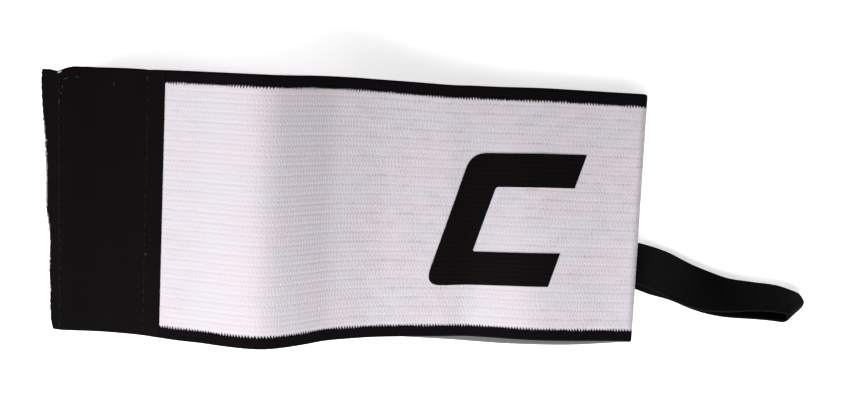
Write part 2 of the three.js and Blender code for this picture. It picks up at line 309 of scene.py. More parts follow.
def front_point(along, across):
    """The webbing's middle on the front: x grows evenly, and z is read between the two edges' rises."""
    share = (across + 1) / 2
    upper = read_column(FRONT_ROWS, "along", "rise_upper", along)
    lower = read_column(FRONT_ROWS, "along", "rise_lower", along)
    x = along * FOLD_CENTRE
    skew = END_SKEW * across * (1 - smoothstep(x, 0, 2 * FREE_END))
    taper = END_TAPER * (1 - smoothstep(x, FREE_END, 2 * FREE_END))
    bow = EDGE_BOW * read_column(FRONT_ROWS, "along", "bow", along) - taper
    rise = upper * share + lower * (1 - share)
    return np.stack([x - skew, share * bow, RIDGE_HEIGHT * rise], axis=-1)


def back_point(along, across):
    """The webbing's middle on the ground, which climbs over the strap's sewn end near the fold.

    At the left-hand fold its upper edge is drawn in a little.
    """
    x = FOLD_CENTRE + (LEFT_FOLD_INSET - FOLD_CENTRE) * along + 0 * across
    aside = read_column(BACK_ROWS, "along", "aside", along)
    lift = smoothstep(x, STRAP_ROOT - STRAP_RAMP, STRAP_ROOT - CLEARANCE)
    tuck = LEFT_FOLD_TUCK * (across + 1) / 2 * smoothstep(along, 0.85, 1)
    return np.stack([x, -BACK_DRIFT * aside - tuck, GROUND_LAYER + STRAP_LIFT * lift], axis=-1)


def level_way(point_at, place, across):
    """The direction in which a run goes, without its drift across."""
    way = point_at(np.minimum(place + SMALL_STEP, 1), across)
    way = way - point_at(np.maximum(place - SMALL_STEP, 0), across)
    way[..., 1] = 0
    return unit(way)


def normal_of(way):
    """The outward side of a run: its way turned a quarter about Y."""
    return np.stack([-way[..., 2], 0 * way[..., 0], way[..., 0]], axis=-1)


def under_point(along, across):
    """The under end's middle: the front's own line, moved down by the depth of the fastening."""
    place = (UNDER_START + UNDER_END_LENGTH * along) / FOLD_CENTRE
    point = front_point(place, across) - STACK_DEPTH * normal_of(level_way(front_point, place, across))
    tuck = LEFT_FOLD_TUCK * (across + 1) / 2 * (1 - smoothstep(along, 0.1, 0.5))
    point[..., 1] = -BACK_DRIFT * BACK_ROWS["aside"][-1] - tuck
    return point


def fold_between(start, start_way, end, end_way, reach, along):
    """A cubic Bezier curve that leaves one point in one direction and arrives at another in a second."""
    t = along[..., None]
    reach = np.asarray(reach)[..., None]
    rest = 1 - t
    first, second = start + reach * start_way, end - reach * end_way
    return rest**3 * start + 3 * rest**2 * t * first + 3 * rest * t**2 * second + t**3 * end


ALONG_X = np.array([1.0, 0.0, 0.0])


def right_fold_point(along, across):
    """Half a circle from the front down to the lifted back layer."""
    start, end = front_point(1 + 0 * along, across), back_point(0 * along, across)
    return fold_between(start, ALONG_X, end, -ALONG_X, FOLD_RADIUS * 4 / 3 + 0 * along, along)


def left_fold_point(along, across):
    """A wide fold from the ground up to the start of the under end."""
    start, end = back_point(1 + 0 * along, across), under_point(0 * along, across)
    arrival = level_way(under_point, 0 * along, across)
    return fold_between(start, -ALONG_X, end, arrival, LEFT_FOLD_REACH + END_SKEW * across, along)


RUNS = (front_point, right_fold_point, back_point, left_fold_point, under_point)
RUN_STEPS = (94, 16, 38, 32, 20)


def loop_point(place, across):
    """The webbing's middle on the whole loop. A place of 2.5 is half-way through the third run."""
    place, across = np.broadcast_arrays(np.asarray(place, float), np.asarray(across, float))
    point = np.zeros(place.shape + (3,))
    number = np.clip(np.floor(place), 0, len(RUNS) - 1).astype(int)
    for run, point_at in enumerate(RUNS):
        here = number == run
        point[here] = point_at(place[here] - run, across[here])
    point[..., 1] += HALF_WIDTH * across
    return point


def loop_normal(place, across):
    """The webbing's outward side on the whole loop."""
    place = np.clip(place, 0, len(RUNS))
    way = loop_point(np.minimum(place + SMALL_STEP, len(RUNS)), across)
    way = way - loop_point(np.maximum(place - SMALL_STEP, 0), across)
    way[..., 1] = 0
    return normal_of(unit(way))


SAMPLES_PER_RUN = 200
PLACES = np.concatenate([[-0.02], np.linspace(0, len(RUNS), len(RUNS) * SAMPLES_PER_RUN + 1)])
MIDDLE = loop_point(PLACES, 0.0)
LENGTHS = np.concatenate([[0], np.cumsum(np.linalg.norm(np.diff(MIDDLE, axis=0), axis=1))])
LENGTHS -= LENGTHS[1]
FRONT_LENGTH = LENGTHS[SAMPLES_PER_RUN + 1]
WHOLE_LENGTH = LENGTHS[-1]


def cloth_point(length, across, offset):
    """A point in metres, given the length along the webbing, the distance across it and off its middle."""
    length, across, offset = np.broadcast_arrays(*(np.asarray(v, float) for v in (length, across, offset)))
    place = np.interp(length, LENGTHS, PLACES)
    point = loop_point(place, across / HALF_WIDTH)
    return (point + offset[..., None] * loop_normal(place, across / HALF_WIDTH) + FRAME_SHIFT) * MM


def loop_stations(length_from=None, length_to=None):
    """Lengths along the webbing at which the cloth bends, the same ones for every layer of it."""
    places = [np.zeros(1)]
    places += [run + np.arange(1, steps + 1) / steps for run, steps in enumerate(RUN_STEPS)]
    lengths = np.interp(np.concatenate(places), PLACES, LENGTHS)
    if length_from is None:
        return lengths
    inside = lengths[(lengths > length_from + 0.3) & (lengths < length_to - 0.3)]
    return np.concatenate([[length_from], inside, [length_to]])


def rib_rise(across, height):
    """How far a rubber cord lifts the weave.

    Each cord is a flat-topped hump, and every second groove between two cords is deeper.
    """
    place = (across + FIELD_HALF) / RIB_PITCH
    crest = 1 - np.abs(2 * (place - np.floor(place)) - 1) ** 3
    groove = np.where(np.round(place) % 2 == 0, -0.7, -0.1)
    return height * (groove + (1 - groove) * crest)


def edge_share(across):
    """How much of its thickness the webbing keeps near its woven edge, on a rounded profile."""
    near = np.clip((np.abs(across) - HALF_WIDTH + EDGE_ROUND) / EDGE_ROUND, 0, 1)
    return np.sqrt(1 - 0.88 * near**2)


def face_rise(across, height):
    """The distance from the webbing's middle to its face."""
    return (CORE_HALF + rib_rise(across, height)) * edge_share(across)


def cut_inset(across):
    """How far the cut end is short of a straight cut, with the small jags of its yarn ends."""
    wave = CUT_WAVE * read_column(CUT_ROWS, "across", "inset", across / HALF_WIDTH)
    return wave + 0.09 * np.sin(across * 7.9) * np.sin(across * 3.1 + 1)


def cut_notch(length, across):
    """How far the upper edge is drawn in where the two seams of the hook tape end."""
    dip = sum(depth * np.exp(-(((length - place) / reach) ** 2)) for depth, place, reach in NOTCHES)
    return dip * smoothstep(across, HALF_WIDTH - 4, HALF_WIDTH)


def hook_shortfall(length):
    """How far the hook tape's upper edge falls short: most at its two corners, least between them."""
    outer_corner = 1.1 * (1 - smoothstep(length, 4.2, 7.5)) + 0.6 * (1 - smoothstep(length, 6, 12))
    return outer_corner + 0.1 + 0.3 * smoothstep(length, 9, 14) + 0.7 * smoothstep(length, 27.5, 29.5)


def field_rows():
    """Distances across the white field: a groove, two shoulders and a crest for each rib."""
    steps = np.arange(RIB_COUNT)[:, None] + np.array([0, 0.16, 0.5, 0.84])
    return np.append(steps.ravel() * RIB_PITCH - FIELD_HALF, FIELD_HALF)


def border_rows():
    """Distances across the upper border, closer together on its rounded edge."""
    ribs = FIELD_HALF + RIB_PITCH * np.array([0, 0.16, 0.5, 0.84, 1, 1.16, 1.5, 1.84, 2, 2.16, 2.38])
    return np.append(ribs, HALF_WIDTH - EDGE_ROUND * np.array([0.72, 0.45, 0.25, 0.1, 0]))


def band_grid(rows, stations):
    """Lengths and distances over a grid of the webbing, fitted to the uneven cut end."""
    length, across = np.meshgrid(stations, rows, indexing="ij")
    length = length + cut_inset(across) * (1 - smoothstep(length, 0, 7))
    return length, across - cut_notch(length, across)


def grid_faces(columns, rows):
    """Faces of a closed sheet: an outer grid, an inner grid behind it, and the four walls between."""
    outer = np.arange(columns * rows).reshape(columns, rows)
    inner = outer + columns * rows

    def quads(first, second, third, fourth):
        return np.stack([first.ravel(), second.ravel(), third.ravel(), fourth.ravel()], axis=1)

    return [
        quads(outer[:-1, :-1], outer[1:, :-1], outer[1:, 1:], outer[:-1, 1:]),
        quads(inner[:-1, :-1], inner[:-1, 1:], inner[1:, 1:], inner[1:, :-1]),
        quads(inner[:-1, 0], inner[1:, 0], outer[1:, 0], outer[:-1, 0]),
        quads(outer[:-1, -1], outer[1:, -1], inner[1:, -1], inner[:-1, -1]),
        quads(inner[0, :-1], outer[0, :-1], outer[0, 1:], inner[0, 1:]),
        quads(outer[-1, :-1], inner[-1, :-1], inner[-1, 1:], outer[-1, 1:]),
    ]


TUBE_SIDES = 6


def tube_faces(tubes, rings, sides):
    """Faces of many closed tubes: quads between neighbouring rings and one face at each end."""
    corner = np.arange(tubes * rings * sides).reshape(tubes, rings, sides)
    after = np.roll(corner, -1, axis=2)
    walls = np.stack([corner[:, :-1], after[:, :-1], after[:, 1:], corner[:, 1:]], axis=-1)
    return [walls.reshape(-1, 4), corner[:, 0, ::-1], corner[:, -1]]


def tube_points(paths, radius):
    """Rings round each path: the path's point plus a circle square to its direction."""
    way = unit(np.gradient(paths, axis=1))
    beside = unit(np.cross(way, [0, 0, 1.0]))
    above = np.cross(beside, way)
    angle = np.arange(TUBE_SIDES) * 2 * math.pi / TUBE_SIDES
    ring = beside[:, :, None] * np.cos(angle)[:, None] - above[:, :, None] * np.sin(angle)[:, None]
    return paths[:, :, None] + ring * radius


def add_piece(name, points, faces, finish, slot, replaces=(), cloth=None, crease=60, lean=None):
    """Makes a mesh of whole arrays, gives it its finish and lets it ride on the armband."""
    mesh = bpy.data.meshes.new(name)
    points = np.asarray(points, np.float32).reshape(-1, 3)
    corners = np.concatenate([face.ravel() for face in faces]).astype(np.int32)
    sizes = np.concatenate([np.full(len(face), face.shape[1]) for face in faces])
    mesh.vertices.add(len(points))
    mesh.vertices.foreach_set("co", points.ravel())
    mesh.loops.add(len(corners))
    mesh.loops.foreach_set("vertex_index", corners)
    mesh.polygons.add(len(sizes))
    mesh.polygons.foreach_set("loop_start", (np.cumsum(sizes) - sizes).astype(np.int32))
    mesh.update(calc_edges=True)
    if mesh.validate():
        raise RuntimeError(f"{name}: the mesh has faces that don't close")
    if cloth is not None:
        attribute = mesh.attributes.new("cloth", "FLOAT_VECTOR", "POINT")
        attribute.data.foreach_set("vector", np.asarray(cloth, np.float32).ravel())
    if lean is not None:
        attribute = mesh.attributes.new("lean", "FLOAT", "POINT")
        attribute.data.foreach_set("value", np.asarray(lean, np.float32).ravel())
    mesh.shade_smooth()
    mesh.set_sharp_from_angle(angle=math.radians(crease))
    piece = bpy.data.objects.new(name, mesh)
    bpy.context.scene.collection.objects.link(piece)
    mesh.materials.append(finish)
    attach(piece, "root")
    if replaces:
        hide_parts(*replaces)
    return piece


def cloth_sides(length, across):
    """Length, distance across and side at each point of a closed sheet: 1 outside and -1 inside."""
    return np.stack([np.stack([length, across, side + 0 * length], axis=-1) for side in (1.0, -1.0)])


def add_sheet(name, length, across, inner, outer, finish, slot, replaces=(), crease=60):
    """A closed sheet over the webbing between two offsets.

    Its mesh keeps the length, the distance and the side, and how far the cloth leans to the right, which the
    elastic's finish uses to paint shade.
    """
    points = np.stack([cloth_point(length, across, outer), cloth_point(length, across, inner)])
    faces = grid_faces(*length.shape)
    lean = loop_normal(np.interp(length, LENGTHS, PLACES), across / HALF_WIDTH)[..., 0]
    cloth, lean = cloth_sides(length, across), np.stack([lean, lean])
    return add_piece(name, points, faces, finish, slot, replaces, cloth, crease, lean)


def add_threads(name, paths, radius, finish, slot):
    """A closed tube along each path. The radius is in millimetres."""
    points = tube_points(paths, radius * MM)
    add_piece(name, points, tube_faces(*points.shape[:3]), finish, slot)


def print_face(settings):
    """The distance from the webbing's middle to the face of a print on it."""
    return CORE_HALF + settings.rib_height + PRINT_GAP + PRINT_RISE


class Wire:
    """A shader value that can be reckoned with: each operator adds one Math node."""

    def __init__(self, finish, socket):
        self.finish = finish
        self.socket = socket

    def __add__(self, other):
        return self.finish.reckon("ADD", self, other)

    def __sub__(self, other):
        return self.finish.reckon("SUBTRACT", self, other)

    def __rsub__(self, other):
        return self.finish.reckon("SUBTRACT", other, self)

    def __mul__(self, other):
        return self.finish.reckon("MULTIPLY", self, other)

    def __truediv__(self, other):
        return self.finish.reckon("DIVIDE", self, other)

    def __gt__(self, other):
        return self.finish.reckon("GREATER_THAN", self, other)

    __radd__ = __add__
    __rmul__ = __mul__


class Finish:
    """A material under way. Every node is made by one method, and the maths is written as expressions."""

    def __init__(self, name):
        self.material = bpy.data.materials.new(name)
        self.material.use_nodes = True
        self.nodes = self.material.node_tree.nodes
        self.links = self.material.node_tree.links
        self.shader = self.nodes["Principled BSDF"]

    def put(self, socket, value):
        """Links a wire to a socket, or sets its value."""
        if isinstance(value, Wire):
            self.links.new(value.socket, socket)
        else:
            socket.default_value = value

    def node(self, kind, settings=None, output=0, **values):
        """A node of a type: its settings first, then the values or wires of its sockets."""
        node = self.nodes.new(kind)
        for name, value in (settings or {}).items():
            setattr(node, name, value)
        for name, value in values.items():
            key = int(name[1:]) if name[0] == "i" and name[1:].isdigit() else name.replace("_", " ")
            self.put(node.inputs[key], value)
        return Wire(self, node.outputs[output])

    def reckon(self, operation, *values):
        """One Math node."""
        sockets = {f"i{index}": value for index, value in enumerate(values)}
        return self.node("ShaderNodeMath", {"operation": operation}, **sockets)

    def part(self, vector, axis):
        """One coordinate of a vector."""
        return self.node("ShaderNodeSeparateXYZ", output=axis, Vector=vector)

    def vector(self, x, y, z):
        """A vector of three values."""
        return self.node("ShaderNodeCombineXYZ", X=x, Y=y, Z=z)

    def cloth(self):
        """Length, distance across and side, which the piece's mesh holds in millimetres."""
        return self.node("ShaderNodeAttribute", {"attribute_name": "cloth"}, output=1)

    def lean(self):
        """How far the cloth leans to the right, from -1 to 1."""
        return self.node("ShaderNodeAttribute", {"attribute_name": "lean"}, output=2)

    def place(self):
        """Object coordinates."""
        return self.node("ShaderNodeTexCoord", output=3)

    def noise(self, vector, scale, detail=2.0, roughness=0.5):
        """Noise from 0 to 1."""
        values = {"Vector": vector, "Scale": scale, "Detail": detail, "Roughness": roughness}
        return self.node("ShaderNodeTexNoise", **values)

    def wave(self, phase):
        """A sine from 0 to 1 whose period is a phase of 1."""
        return self.reckon("SINE", phase * (2 * math.pi)) * 0.5 + 0.5

    def fold(self, value):
        """How far a value is from the nearest whole number, from 0 to 1."""
        return self.reckon("ABSOLUTE", self.reckon("FRACT", value) - 0.5) * -2 + 1

    def step(self, value, low, high):
        """0 below low and 1 above high."""
        values = {"i0": value, "i1": low, "i2": high}
        return self.node("ShaderNodeMapRange", {"interpolation_type": "SMOOTHSTEP"}, **values)

    def mix(self, factor, first, second):
        """A colour between two."""
        settings = {"data_type": "RGBA", "clamp_factor": True}
        return self.node("ShaderNodeMix", settings, output=2, i0=factor, i6=first, i7=second)

    def shade(self, colour, factor):
        """A colour times a value."""
        settings = {"data_type": "RGBA", "blend_type": "MULTIPLY"}
        grey = self.node("ShaderNodeCombineColor", i0=factor, i1=factor, i2=factor)
        return self.node("ShaderNodeMix", settings, output=2, i0=1.0, i6=colour, i7=grey)

    def done(self, colour, roughness, height=None, depth=0.0001, **even):
        """Puts the finish together: varying colour and roughness, a bump, and values that are even."""
        self.put(self.shader.inputs["Base Color"], colour)
        self.put(self.shader.inputs["Roughness"], roughness)
        if height is not None:
            bump = self.node("ShaderNodeBump", Strength=1.0, Distance=depth, Height=height)
            self.put(self.shader.inputs["Normal"], bump)
        for name, value in even.items():
            self.shader.inputs[name.replace("_", " ")].default_value = value
        return self.material


def rgba(colour):
    """A colour with full cover."""
    return (*colour, 1.0)


def twill(finish, along, across, pitch):
    """Slanted stitches of the weave, from 0 to 1, that lean one way on a rib and back on the next."""
    rib = (across + FIELD_HALF) / RIB_PITCH
    lean = finish.fold(rib * 0.5)
    wander = finish.noise(finish.vector(along * 0.35, across * 1.1, 0.0), 1.0)
    return finish.wave(along / pitch + lean * 0.55 + wander * 2.2)


def webbing_finish(settings):
    """Ribbed elastic: white yarn with grooves and slanted stitches, and black yarn at both edges. Far along
    the front, the white is darker where the cloth leans to the right: painted shade.
    """
    finish = Finish("ribbed_elastic")
    cloth = finish.cloth()
    lean = finish.lean()
    along, across, side = (finish.part(cloth, axis) for axis in range(3))
    rib = (across + FIELD_HALF) / RIB_PITCH
    stitch = twill(finish, along, across, settings.stitch_pitch)
    groove = 1 - finish.step(finish.fold(rib * 0.5), 0.0, 0.34)
    fine_groove = 1 - finish.step(finish.fold(rib), 0.0, 0.4)
    broken = finish.step(finish.noise(finish.vector(along * 0.09, across * 0.9, 7.0), 1.0, 2.0), 0.38, 0.62)
    fleck = finish.noise(finish.vector(along * 1.9, across * 3.2, 0.0), 1.0, 3.0)
    cloud = finish.noise(finish.vector(along * 0.07, across * 0.1, 3.0), 1.0, 2.0)
    streak = finish.noise(finish.vector(along * 0.04, across * 1.5, 9.0), 1.0, 3.0)
    patch = finish.noise(finish.vector(along * 0.16, across * 0.3, 5.0), 1.0, 2.0)
    near = 1 - finish.step(along, *NEAR_OPEN_WEAVE)
    # Painted shade: far along the front, where the cloth leans to the right, the white is dimmed and its
    # stitches and flecks are stronger.
    far = finish.step(along, *FAR_WEAVE_AND_SHADE) * finish.step(lean, -0.09, 0.03)
    open_weave_and_shade = (0.06 + 0.42 * near + 0.8 * far) * (0.3 + 1.2 * finish.step(patch, 0.35, 0.65))
    dots = groove * (0.3 + 0.7 * (1 - stitch)) * broken
    dim = dots * (0.012 + 0.16 * open_weave_and_shade) + fine_groove * broken * 0.012
    dim = dim + (1 - stitch) * open_weave_and_shade * 0.1
    dim = dim + (fleck - 0.5) * (0.03 + 0.22 * open_weave_and_shade) + (streak - 0.5) * 0.11
    tint = finish.mix(finish.step(cloud, 0.35, 0.65), rgba(settings.white), rgba(settings.white_cool))
    white = finish.shade(tint, 1 - dim)
    teeth = finish.fold(along / settings.tooth_pitch + finish.fold(across / 0.9) * 0.25)
    edge = finish.reckon("ABSOLUTE", across)
    jitter = (finish.noise(finish.vector(along * 1.7, across * 0.2, 0.0), 1.0, 3.0) - 0.5) * 0.8
    stretch = finish.noise(finish.vector(along * 0.11, side, 2.0), 1.0, 2.0)
    reach = 0.45 + 0.5 * finish.step(stretch, 0.42, 0.58)
    widening = finish.step(along, 80.0, 150.0) * ((across > 0.0) * 0.45 - 0.05)
    start = HALF_WIDTH - settings.border_width - widening
    is_border = finish.step(edge + jitter - (teeth - 0.5) * reach - start, -0.1, 0.12)
    knots = finish.wave(along / settings.tooth_pitch) * finish.fold(across / 0.75)
    black = finish.shade(rgba(settings.black), 0.6 + 0.9 * knots + (fleck - 0.5) * 0.9)
    grey = finish.shade(rgba(settings.border_back), 0.8 + 0.4 * fleck)
    height = stitch * 0.4 + fleck * 0.5 - groove * 0.1
    colour = finish.mix(is_border, white, finish.mix(side > -0.9, grey, black))
    return finish.done(colour, 0.9, height=height, depth=0.00006, Specular_IOR_Level=0.04)


def print_finish(settings):
    """Black ink on the ribbed elastic, with the weave showing through."""
    finish = Finish("panel_print")
    cloth = finish.cloth()
    along, across = finish.part(cloth, 0), finish.part(cloth, 1)
    stitch = twill(finish, along, across, settings.stitch_pitch)
    fleck = finish.noise(finish.vector(along * 2.5, across * 2.5, 0.0), 1.0, 3.0)
    cloud = finish.noise(finish.vector(along * 0.12, across * 0.08, 5.0), 1.0)
    colour = finish.shade(rgba(settings.ink), 0.55 + 0.5 * cloud + 0.4 * stitch * fleck)
    roughness = 0.66 + 0.2 * fleck - 0.08 * stitch
    height = stitch * 0.6 + fleck * 0.4
    return finish.done(colour, roughness, height=height, depth=0.00006, Specular_IOR_Level=0.05)


def letter_finish(settings):
    """The letter's black film: smooth and matt, pressed a little into the weave."""
    finish = Finish("letter_print")
    cloth = finish.cloth()
    along, across = finish.part(cloth, 0), finish.part(cloth, 1)
    ribs = finish.fold((across + FIELD_HALF) / RIB_PITCH)
    grain = finish.noise(finish.vector(along * 1.4, across * 3.0, 0.0), 1.0, 3.0)
    colour = finish.shade(rgba(settings.ink), 0.85 + 0.3 * grain)
    height = ribs * 0.5 + grain * 0.5
    return finish.done(colour, 0.6 + 0.15 * grain, height=height, depth=0.00005, Specular_IOR_Level=0.06)


def strap_finish(settings):
    """Black narrow elastic: fine ribs along it, crossed by short slanted stitches."""
    finish = Finish("strap_elastic")
    cloth = finish.cloth()
    along, across = finish.part(cloth, 0), finish.part(cloth, 1)
    ribs = finish.fold(across / STRAP_RIB_PITCH)
    stitch = finish.wave(along / 0.7 + finish.fold(across / 2.5) * 1.2)
    fleck = finish.noise(finish.vector(along * 2.2, across * 5.0, 0.0), 1.0, 3.0)
    colour = finish.shade(rgba(settings.strap), 0.6 + 0.4 * ribs + 0.5 * stitch * fleck)
    height = ribs * 0.5 + stitch * 0.35 + fleck * 0.2
    return finish.done(colour, 0.85, height=height, depth=0.00012, Specular_IOR_Level=0.06)


def tape_finish(settings, name, length_scale, depth):
    """Black fastening tape: a close field of knots, hooks or pile, of one scale."""
    finish = Finish(name)
    cloth = finish.cloth()
    along, across = finish.part(cloth, 0), finish.part(cloth, 1)
    knots = finish.fold(along / length_scale) * finish.fold(across / (length_scale * 0.8))
    fuzz = finish.noise(finish.vector(along, across, 0.0), 3.0, 4.0, 0.65)
    colour = finish.shade(rgba(settings.tape), 0.5 + 0.6 * fuzz + 0.4 * knots)
    return finish.done(colour, 0.9, height=knots * 0.5 + fuzz * 0.5, depth=depth, Specular_IOR_Level=0.15)


def thread_finish(name, colour, roughness):
    """Sewing thread: two plies that wind round each other, as a fine slanted stripe."""
    finish = Finish(name)
    place = finish.place()
    x, y, z = (finish.part(place, axis) for axis in range(3))
    ply = finish.wave((x + y + z) * 2400)
    grain = finish.noise(place, 1500.0, 2.0)
    tone = finish.shade(rgba(colour), 0.75 + 0.25 * ply + 0.2 * (grain - 0.5))
    return finish.done(tone, roughness, height=ply, depth=0.00004, Specular_IOR_Level=0.15)


def floor_finish(colour, glow):
    """A plain pale surface with a barely uneven tone, lit a little from below."""
    finish = Finish("pale_surface")
    tone = finish.noise(finish.place(), 6.0, 3.0)
    tone = finish.shade(rgba(colour), 0.985 + 0.03 * tone)
    even = {"Emission_Color": (1.0, 1.0, 1.0, 1.0), "Emission_Strength": glow}
    return finish.done(tone, 0.7, Specular_IOR_Level=0.2, **even)


def stitch_paths(starts, ends, surface, sink, rise):
    """Paths of stitches: each goes straight from its start to its end and arches out of the cloth."""
    share = np.linspace(0, 1, 7)[:, None]
    flat = starts[:, None] * (1 - share) + ends[:, None] * share
    arch = np.sin(math.pi * share[:, 0]) * (rise + sink) - sink
    return surface(flat[..., 0], flat[..., 1], arch)


def seam(start, end, pitch, gap):
    """Starts and ends of the stitches in a straight seam between two places on the cloth."""
    start, end = np.array(start, float), np.array(end, float)
    count = max(1, int(round(np.linalg.norm(end - start) / pitch)))
    edges = start + (end - start) * (np.arange(count + 1) / count)[:, None]
    inset = (end - start) / count * gap
    return edges[:-1] + inset, edges[1:] - inset


def strap_middle(share):
    """The strap's middle line seen from above, and its tables' values, at shares of its length."""
    out = np.linspace(STRAP_ROWS["out"][0], STRAP_ROWS["out"][-1], 400)
    x = FRONT_SPAN + out * STRAP_FREE_LENGTH
    y = -STRAP_ROOT_DROP - STRAP_DRIFT * read_column(STRAP_ROWS, "out", "drift", out)
    gone = np.concatenate([[0], np.cumsum(np.hypot(np.diff(x), np.diff(y)))])
    out_at = np.interp(share * gone[-1], gone, out)
    x, y = np.interp(out_at, out, x), np.interp(out_at, out, y)
    drift = -STRAP_DRIFT * read_column(STRAP_ROWS, "out", "drift", out)
    slope = np.interp(out_at, out, np.gradient(drift, out))
    way = unit(np.stack([STRAP_FREE_LENGTH + 0 * slope, slope, 0 * slope], axis=-1))
    return np.stack([x, y, 0 * x], axis=-1), way, out_at, gone[-1]


STRAP_STEPS = 90
STRAP_FOLD_STEPS = 14


def strap_point(step, across, offset):
    """A point on the doubled strap: out on the upper layer, round the tip and back on the lower one.

    Across the ribbon the strap turns from flat on the ground to nearly upright, and its lowest corner
    always touches the ground. Where it leaves the fold, its two layers lie a little askew.
    """
    columns = 2 * STRAP_STEPS + STRAP_FOLD_STEPS
    out_share = np.minimum(np.minimum(step, columns - step), STRAP_STEPS) / STRAP_STEPS
    turn = np.clip((step - STRAP_STEPS) / STRAP_FOLD_STEPS, 0, 1) * math.pi
    length = strap_middle(np.zeros(1))[3]
    lower_edge = 0.5 - across / STRAP_WIDTH
    corner = STRAP_TIP_CORNER * np.clip(1 - lower_edge / 0.3, 0, 1) ** 2 * out_share**8
    slant = STRAP_TIP_SLANT * np.clip((lower_edge - 0.2) / 0.8, 0, 1) ** 1.1 * out_share
    share = out_share - (slant + corner) / length
    middle, way, out, _ = strap_middle(share)
    askew = STRAP_ASKEW * smoothstep(out, -0.2, 0.12) * (1 - smoothstep(out, 0.13, 0.32)) * np.cos(turn)
    tilt = STRAP_TILT * read_column(STRAP_ROWS, "out", "tilt", out)
    spread = STRAP_LOOP_GAP * read_column(STRAP_ROWS, "out", "spread", out)
    sideways = np.cross(way, [0, 0, 1])
    width_way = sideways * np.cos(tilt)[..., None]
    width_way[..., 2] += np.sin(tilt)
    normal = np.cross(width_way, way)
    apart = (STRAP_THICKNESS + CLEARANCE + spread) / 2
    half_stack = apart + STRAP_THICKNESS / 2
    middle[..., 2] = STRAP_WIDTH / 2 * np.abs(np.sin(tilt)) + half_stack * np.cos(tilt)
    outward = normal * np.cos(turn)[..., None] + way * np.sin(turn)[..., None]
    point = middle + outward * (apart + offset)[..., None] - width_way * (across + askew)[..., None]
    return (point + FRAME_SHIFT) * MM


def root_face(height, outward):
    """The surface at a height by the strap's root, over which stitches rise up (1) or down (-1)."""

    def surface(beyond, aside, lift):
        x, y = STRAP_ROOT + beyond, -STRAP_ROOT_DROP + aside
        return (np.stack([x, y, height + outward * lift + 0 * x], axis=-1) + FRAME_SHIFT) * MM

    return surface


def letter_outlines():
    """The letter's outer and inner outline, drawn upright, with as many points each."""
    top = LETTER_HEIGHT / 2
    outer = [(LETTER_TOP_REACH, top), (0, top), (0, -top), (LETTER_BOTTOM_REACH, -top)]
    inside = top - LETTER_BAR
    inner = [
        (LETTER_TOP_REACH, inside),
        (LETTER_STEM, inside),
        (LETTER_STEM, -inside),
        (LETTER_BOTTOM_REACH, -inside),
    ]
    outlines = []
    for corners, radius in ((outer, LETTER_OUTER_RADIUS), (inner, LETTER_INNER_RADIUS)):
        corners = [np.array(corner, float) for corner in corners]
        start, outline = corners[0], []
        for corner, after in zip(corners[1:-1], corners[2:]):
            cut_in = corner + radius * unit(start - corner)
            cut_out = corner + radius * unit(after - corner)
            side = np.linspace(0, 1, 32)[:, None]
            t = np.linspace(0, 1, 10)[1:-1, None]
            outline.append(start + (cut_in - start) * side)
            outline.append((1 - t) ** 2 * cut_in + 2 * t * (1 - t) * corner + t**2 * cut_out)
            start = cut_out
        outline.append(start + (corners[-1] - start) * np.linspace(0, 1, 32)[:, None])
        outlines.append(np.concatenate(outline))
    return outlines


class ArmbandSettings(bpy.types.PropertyGroup):
    """Sizes and colours of the armband's cloth, prints and threads."""

    rib_height: bpy.props.FloatProperty(
        name="Rib height", description="How far a rubber cord lifts the weave, in millimetres", default=0.015
    )
    stitch_pitch: bpy.props.FloatProperty(
        name="Stitch pitch",
        description="Length of one slanted stitch of the weave, in millimetres",
        default=1.02,
    )
    border_width: bpy.props.FloatProperty(
        name="Border width", description="Width of the black border, in millimetres", default=3.6
    )
    tooth_pitch: bpy.props.FloatProperty(
        name="Tooth pitch",
        description="Length of one tooth of the border's edge, in millimetres",
        default=0.86,
    )
    white: bpy.props.FloatVectorProperty(
        name="White yarn", description="Colour of the elastic", subtype="COLOR", default=(0.745, 0.675, 0.72)
    )
    white_cool: bpy.props.FloatVectorProperty(
        name="Cool white yarn",
        description="Colour of the elastic where it looks cooler",
        subtype="COLOR",
        default=(0.715, 0.68, 0.735),
    )
    black: bpy.props.FloatVectorProperty(
        name="Black yarn",
        description="Colour of the borders",
        subtype="COLOR",
        default=(0.0055, 0.0038, 0.0052),
    )
    border_back: bpy.props.FloatVectorProperty(
        name="Border back",
        description="Colour of the borders on the inner face, where white yarn shows through",
        subtype="COLOR",
        default=(0.15, 0.145, 0.148),
    )
    ink: bpy.props.FloatVectorProperty(
        name="Ink",
        description="Colour of the panel and the letter",
        subtype="COLOR",
        default=(0.0029, 0.0019, 0.0024),
    )
    strap: bpy.props.FloatVectorProperty(
        name="Strap",
        description="Colour of the narrow strap",
        subtype="COLOR",
        default=(0.0042, 0.0041, 0.0042),
    )
    tape: bpy.props.FloatVectorProperty(
        name="Tape",
        description="Colour of the fastening tapes",
        subtype="COLOR",
        default=(0.006, 0.006, 0.0065),
    )
    thread: bpy.props.FloatVectorProperty(
        name="Thread", description="Colour of the seams", subtype="COLOR", default=(0.006, 0.0055, 0.006)
    )
    fray: bpy.props.FloatVectorProperty(
        name="Frayed yarn",
        description="Colour of the loose yarn ends",
        subtype="COLOR",
        default=(0.5, 0.48, 0.5),
    )
    lint: bpy.props.FloatVectorProperty(
        name="Lint",
        description="Colour of the lint on the panel",
        subtype="COLOR",
        default=(0.075, 0.07, 0.075),
    )


